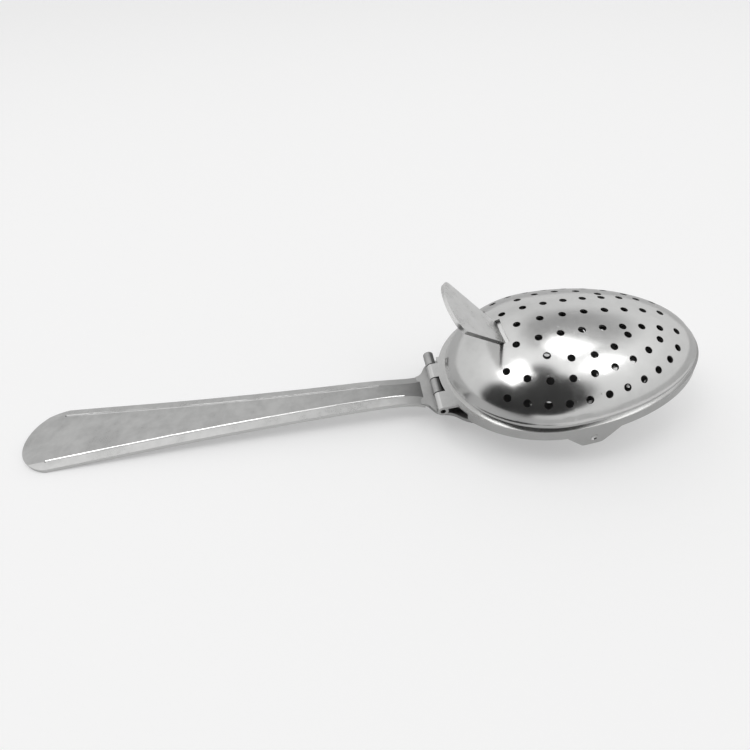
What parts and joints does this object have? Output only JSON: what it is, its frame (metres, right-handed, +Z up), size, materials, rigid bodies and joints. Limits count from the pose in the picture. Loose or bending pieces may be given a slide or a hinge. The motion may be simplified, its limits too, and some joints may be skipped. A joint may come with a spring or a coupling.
{
  "type": "tea infuser",
  "caption": "Perforated egg-shaped tea infuser spoon with a hinged domed lid, a thumb tab that opens it and a long handle.",
  "frame": {"origin": "middle of the footprint, at the height of the surface that the bowl and the end of the handle rest on", "axes": "+X from the handle to the bowl's tip, +Z up, +Y to the left when looking along +X; the hinge pin runs along Y"},
  "size_m": [0.1648, 0.0458, 0.0326],
  "materials": {
    "satin_steel": "satin",
    "polished_steel": "polished",
    "tab_steel": "satin",
    "pin_steel": "drawn wire"
  },
  "bodies": {
    "spoon": {"spoon_body": "satin_steel", "hinge_pin": "pin_steel"},
    "lid": {"lid": "polished_steel", "thumb_tab": "tab_steel"}
  },
  "joints": [
    {"name": "lid_hinge", "type": "hinge", "parent": "spoon", "child": "lid", "pos_m": [0.02012, 0, 0.00774], "axis": [0, -1, 0], "range_deg": [0, 95]}
  ]
}
